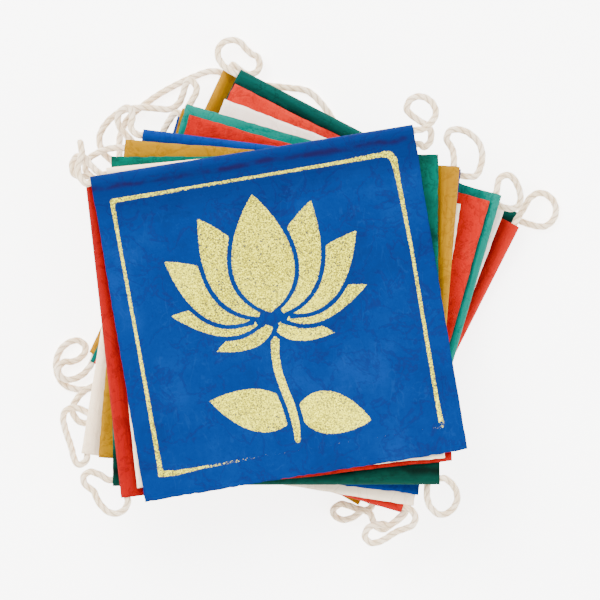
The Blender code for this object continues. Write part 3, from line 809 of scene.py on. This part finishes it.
class GARLAND_OT_flags(bpy.types.Operator):
    """Makes the fifteen paper flags over their solids, lowest first"""

    bl_idname = "garland.flags"
    bl_label = "Make the flags"

    def execute(self, context):
        paper = context.scene.garland_paper
        inks = context.scene.garland_print
        below = HeightMap()
        for number in range(len(FLAGS), 0, -1):
            flag = Flag(number, FLAGS[number - 1])
            drape = Drape(flag)
            top = number == 1
            mesh, plan, flat = sheet_mesh(flag, drape, below, paper, top)
            piece = bpy.data.objects.new(f"{flag.dye}_flag_{number:02d}", mesh)
            context.scene.collection.objects.link(piece)
            name = f"lokta paper, dyed {flag.shade}, flag {number}"
            mesh.materials.append(lokta_paper(name, flag, paper.crease))
            solid = piece.modifiers.new("Paper", "SOLIDIFY")
            solid.thickness = paper.thickness * MM
            solid.offset = 0.0
            if top:
                edge, wear = print_distance(plan)
                edge = np.where(flat[:, 1] * SHEET_MAP > run_at(CASING_FLAT), edge, 9.0)
                for key, values in (("print_edge", edge), ("print_wear", wear)):
                    layer = mesh.attributes.new(key, "FLOAT", "POINT")
                    layer.data.foreach_set("value", values.astype(np.float32))
                colours = (inks.dim[:], inks.mid[:], inks.bright[:])
                name = f"lokta paper, dyed {flag.shade}, printed in gold ink"
                face = lokta_paper(name, flag, paper.crease, colours)
                mesh.materials.append(mesh.materials[0])
                mesh.materials[0] = face
                solid.material_offset = 1
                solid.material_offset_rim = 1
            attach(piece, "root")
            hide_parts(flag.node)
        return {"FINISHED"}


class GARLAND_OT_string(bpy.types.Operator):
    """Twists the cotton string along its CAD tube"""

    bl_idname = "garland.string"
    bl_label = "Make the string"

    def execute(self, context):
        cotton = context.scene.garland_string
        rings = string_middle()
        line, length = resampled(rings, 0.62)
        side, up = sides_along(line)
        around = 5 * cotton.plies
        angle = np.linspace(0, 2 * math.pi, around, endpoint=False)
        run = np.linspace(0, length, len(line))
        full = cotton.diameter / 2 * 1.03
        radius, groove = plied_outline(cotton, full, run, angle)
        ring = radius[..., None] * (
            np.cos(angle)[None, :, None] * side[:, None] + np.sin(angle)[None, :, None] * up[:, None]
        )
        points = line[:, None] + ring
        points[..., 2] = np.maximum(points[..., 2], 0.02)
        index = np.arange(len(line) * around).reshape(len(line), around)
        turned = np.roll(index, -1, 1)
        quads = np.stack((index[:-1], turned[:-1], turned[1:], index[1:]), -1).reshape(-1, 4)
        faces = quads.tolist() + [index[0][::-1].tolist(), index[-1].tolist()]
        mesh = bpy.data.meshes.new("cotton_string")
        mesh.from_pydata((points.reshape(-1, 3) * MM).tolist(), [], faces)
        mesh.polygons.foreach_set("use_smooth", np.ones(len(faces), bool))
        layer = mesh.attributes.new("groove", "FLOAT", "POINT")
        layer.data.foreach_set("value", groove.ravel().astype(np.float32))
        map_strand(mesh, around, run, full, len(quads))
        mesh.materials.append(plied_cotton((cotton.light[:], cotton.shade[:])))
        piece = bpy.data.objects.new("cotton_string", mesh)
        context.scene.collection.objects.link(piece)
        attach(piece, "root")
        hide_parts("string")
        # It leaves the pile at the near end of the topmost casing.
        return {"FINISHED"}


class GARLAND_OT_stage(bpy.types.Operator):
    """Sets up the floor, the soft light and the camera straight above"""

    bl_idname = "garland.stage"
    bl_label = "Set the stage"

    def execute(self, context):
        stage = context.scene.garland_stage
        mesh = bpy.data.meshes.new("floor")
        corners = [(-3, -3, 0), (3, -3, 0), (3, 3, 0), (-3, 3, 0)]
        mesh.from_pydata(corners, [], [(0, 1, 2, 3)])
        floor = bpy.data.objects.new("floor", mesh)
        context.scene.collection.objects.link(floor)
        mesh.materials.append(smooth_board(stage.floor[:], stage.glow))
        for name, place, size, watts in (
            ("key", (-0.55, 0.75, 1.25), 1.0, stage.key),
            ("fill", (0.9, -0.5, 1.1), 1.2, stage.fill),
        ):
            lamp = bpy.data.lights.new(name, "AREA")
            lamp.energy = watts
            lamp.size = size
            lamp.color = linear("#FFFDF8")
            lit = bpy.data.objects.new(name, lamp)
            lit.location = place
            lit.rotation_euler = (-Vector(place)).to_track_quat("-Z", "Y").to_euler()
            context.scene.collection.objects.link(lit)
        world = bpy.data.worlds.new("pale room")
        world.use_nodes = True
        sky = world.node_tree.nodes["Background"]
        sky.inputs[0].default_value = (1.0, 1.0, 1.0, 1.0)
        sky.inputs[1].default_value = stage.air
        context.scene.world = world
        camera = bpy.data.cameras.new("above")
        level = 0.045
        camera.sensor_width = 36.0
        camera.lens = 36.0 * (stage.far - level) / (VIEW_WIDE * STEP * MM)
        camera.clip_end = 20.0
        eye = bpy.data.objects.new("above", camera)
        x, y = spot(*VIEW_AT) * MM
        eye.location = (x, y, stage.far)
        context.scene.collection.objects.link(eye)
        context.scene.camera = eye
        return {"FINISHED"}


class GARLAND_PT_panel(bpy.types.Panel):
    """The garland's sizes, colours and steps"""

    bl_idname = "GARLAND_PT_panel"
    bl_label = "Prayer flag garland"
    bl_space_type = "VIEW_3D"
    bl_region_type = "UI"
    bl_category = "Garland"

    def draw(self, context):
        scene = context.scene
        for group, steps in (
            (scene.garland_stage, ("garland.stage",)),
            (scene.garland_paper, ("garland.flags",)),
            (scene.garland_print, ()),
            (scene.garland_string, ("garland.string",)),
        ):
            box = self.layout.box()
            for key in group.__annotations__:
                box.prop(group, key)
            for step in steps:
                box.operator(step)


GROUPS = {
    "garland_paper": GarlandPaper,
    "garland_string": GarlandString,
    "garland_print": GarlandPrint,
    "garland_stage": GarlandStage,
}
CLASSES = (*GROUPS.values(), GARLAND_OT_stage, GARLAND_OT_flags, GARLAND_OT_string, GARLAND_PT_panel)


def register():
    for each in CLASSES:
        bpy.utils.register_class(each)
    for key, group in GROUPS.items():
        setattr(bpy.types.Scene, key, PointerProperty(type=group))


def unregister():
    for key in GROUPS:
        delattr(bpy.types.Scene, key)
    for each in reversed(CLASSES):
        bpy.utils.unregister_class(each)


def main():
    register()
    bpy.ops.garland.stage()
    bpy.ops.garland.flags()
    bpy.ops.garland.string()


if __name__ == "__main__":
    main()
